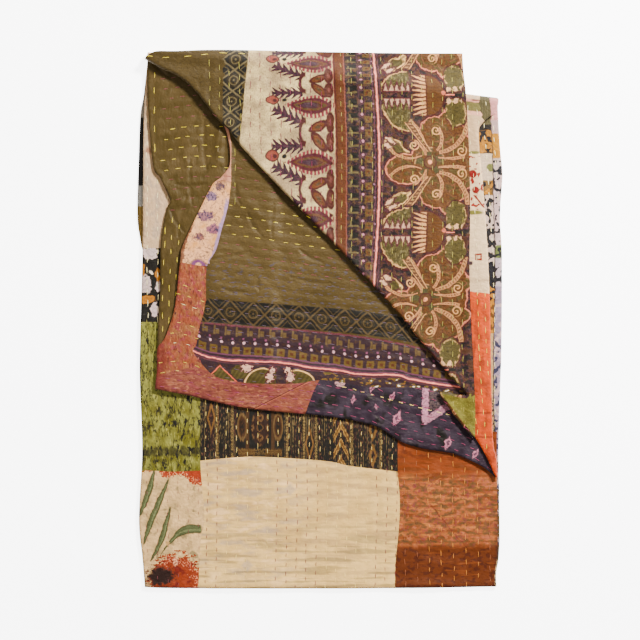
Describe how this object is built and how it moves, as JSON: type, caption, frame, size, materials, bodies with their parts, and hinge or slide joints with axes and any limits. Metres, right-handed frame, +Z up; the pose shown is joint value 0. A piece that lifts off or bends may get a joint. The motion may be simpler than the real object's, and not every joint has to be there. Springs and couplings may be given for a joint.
{
  "type": "folded kantha quilt",
  "caption": "Patchwork kantha quilt folded in half and over at the top, lying flat, with the top leaf's corner turned back to show its printed sari backing.",
  "frame": {"origin": "on the surface that the quilt rests on, under the middle of its box", "axes": "+Z up from the surface, +Y along the packet towards its top fold, +X towards its side fold"},
  "size_m": [0.6491, 0.9553, 0.0278],
  "materials": {
    "quilted_cotton": "soft, puckered by running stitches"
  },
  "bodies": {
    "root": {"quilt_cloth": "quilted_cotton"}
  },
  "joints": []
}
